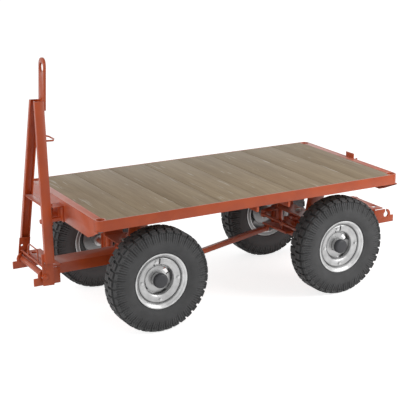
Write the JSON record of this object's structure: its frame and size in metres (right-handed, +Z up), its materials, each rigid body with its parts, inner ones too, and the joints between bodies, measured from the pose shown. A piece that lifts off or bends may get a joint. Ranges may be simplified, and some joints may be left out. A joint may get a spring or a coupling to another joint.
{
  "type": "platform trailer",
  "caption": "Flat platform trailer on air tyres, both axles steered through linked draw beams, with an upright folding towbar and notched coupling heads.",
  "frame": {"origin": "on the floor below the middle of the deck", "axes": "+X towards the rear head, the towbar at -X; +Y across, to the right side; +Z up"},
  "size_m": [1.865, 0.75, 1.1395],
  "materials": {
    "paint": "worn orange-red gloss paint on steel",
    "wood": "weathered grey-brown planks",
    "tyre": "matt black",
    "silver": "satin silver paint on pressed steel"
  },
  "bodies": {
    "chassis": {"deck_board_1": "wood", "deck_board_2": "wood", "deck_board_3": "wood", "deck_board_4": "wood", "deck_board_5": "wood", "deck_board_6": "wood", "deck_board_7": "wood", "deck_board_8": "wood", "stake_socket_front_left": "paint", "stake_socket_front_right": "paint", "stake_socket_rear_left": "paint", "stake_socket_rear_right": "paint", "side_rail_left": "paint", "side_rail_right": "paint", "front_end_beam": "paint", "rear_end_beam": "paint", "longeron_left": "paint", "longeron_right": "paint", "front_axle_lower_beam": "paint", "front_axle_upper_beam": "paint", "front_saddle": "paint", "front_catch": "paint", "rear_axle_lower_beam": "paint", "rear_axle_upper_beam": "paint", "rear_saddle": "paint", "rear_catch": "paint"},
    "front_steering": {"front_draw_beam": "paint", "front_ear_left": "paint", "front_ear_right": "paint", "front_head_bar": "paint"},
    "rear_steering": {"rear_draw_beam": "paint", "rear_ear_left": "paint", "rear_ear_right": "paint", "rear_head_bar": "paint"},
    "towbar": {"towbar_leg_left": "paint", "towbar_leg_right": "paint", "towbar_pivot_tube": "paint", "towbar_stop_rod": "paint", "towbar_cross_bar": "paint", "towbar_hand_loop": "paint", "towbar_eye_bar": "paint"},
    "front_left_knuckle": {"front_left_knuckle": "paint"},
    "front_left_wheel": {"front_left_tyre": "tyre", "front_left_rim": "silver", "front_left_hub": "silver"},
    "front_right_knuckle": {"front_right_knuckle": "paint"},
    "front_right_wheel": {"front_right_tyre": "tyre", "front_right_rim": "silver", "front_right_hub": "silver"},
    "front_track_rod": {"front_track_rod": "paint"},
    "rear_left_knuckle": {"rear_left_knuckle": "paint"},
    "rear_left_wheel": {"rear_left_tyre": "tyre", "rear_left_rim": "silver", "rear_left_hub": "silver"},
    "rear_right_knuckle": {"rear_right_knuckle": "paint"},
    "rear_right_wheel": {"rear_right_tyre": "tyre", "rear_right_rim": "silver", "rear_right_hub": "silver"},
    "rear_track_rod": {"rear_track_rod": "paint"},
    "cross_rod": {"cross_rod": "paint"}
  },
  "joints": [
    {"name": "front_steer", "type": "hinge", "parent": "chassis", "child": "front_steering", "pos_m": [-0.459, 0, 0.2475], "axis": [0, 0, 1], "range_deg": [-22, 22]},
    {"name": "towbar_lift", "type": "hinge", "parent": "front_steering", "child": "towbar", "pos_m": [-0.887, 0, 0.256], "axis": [0, -1, 0], "range_deg": [0, 95]},
    {"name": "rear_steer", "type": "hinge", "parent": "chassis", "child": "rear_steering", "pos_m": [0.459, 0, 0.2475], "axis": [0, 0, 1], "range_deg": [-22, 22]},
    {"name": "front_left_kingpin", "type": "hinge", "parent": "chassis", "child": "front_left_knuckle", "pos_m": [-0.459, -0.17, 0.2475], "axis": [0, 0, 1], "range_deg": [-22, 22]},
    {"name": "front_left_spin", "type": "hinge", "parent": "front_left_knuckle", "child": "front_left_wheel", "pos_m": [-0.459, -0.3125, 0.22587], "axis": [0, 1, 0], "continuous": true},
    {"name": "front_right_kingpin", "type": "hinge", "parent": "chassis", "child": "front_right_knuckle", "pos_m": [-0.459, 0.17, 0.2475], "axis": [0, 0, 1], "range_deg": [-22, 22]},
    {"name": "front_right_spin", "type": "hinge", "parent": "front_right_knuckle", "child": "front_right_wheel", "pos_m": [-0.459, 0.3125, 0.22587], "axis": [0, 1, 0], "continuous": true},
    {"name": "front_track_rod_pin", "type": "hinge", "parent": "front_left_knuckle", "child": "front_track_rod", "pos_m": [-0.369, -0.17, 0.255], "axis": [0, 0, 1], "range_deg": [-22, 22]},
    {"name": "rear_left_kingpin", "type": "hinge", "parent": "chassis", "child": "rear_left_knuckle", "pos_m": [0.459, -0.17, 0.2475], "axis": [0, 0, 1], "range_deg": [-22, 22]},
    {"name": "rear_left_spin", "type": "hinge", "parent": "rear_left_knuckle", "child": "rear_left_wheel", "pos_m": [0.459, -0.3125, 0.22587], "axis": [0, 1, 0], "continuous": true},
    {"name": "rear_right_kingpin", "type": "hinge", "parent": "chassis", "child": "rear_right_knuckle", "pos_m": [0.459, 0.17, 0.2475], "axis": [0, 0, 1], "range_deg": [-22, 22]},
    {"name": "rear_right_spin", "type": "hinge", "parent": "rear_right_knuckle", "child": "rear_right_wheel", "pos_m": [0.459, 0.3125, 0.22587], "axis": [0, 1, 0], "continuous": true},
    {"name": "rear_track_rod_pin", "type": "hinge", "parent": "rear_left_knuckle", "child": "rear_track_rod", "pos_m": [0.369, -0.17, 0.255], "axis": [0, 0, 1], "range_deg": [-22, 22]},
    {"name": "cross_rod_pin", "type": "hinge", "parent": "front_steering", "child": "cross_rod", "pos_m": [-0.359, -0.126, 0.202], "axis": [0, 0, 1], "range_deg": [-22, 22]}
  ],
  "couplings": [
    {"joint": "rear_steer", "follows": "front_steer", "ratio": -1},
    {"joint": "front_left_kingpin", "follows": "front_steer", "ratio": 1},
    {"joint": "front_right_kingpin", "follows": "front_steer", "ratio": 1},
    {"joint": "front_track_rod_pin", "follows": "front_steer", "ratio": -1},
    {"joint": "rear_left_kingpin", "follows": "front_steer", "ratio": -1},
    {"joint": "rear_right_kingpin", "follows": "front_steer", "ratio": -1},
    {"joint": "rear_track_rod_pin", "follows": "front_steer", "ratio": 1},
    {"joint": "cross_rod_pin", "follows": "front_steer", "ratio": -1}
  ]
}
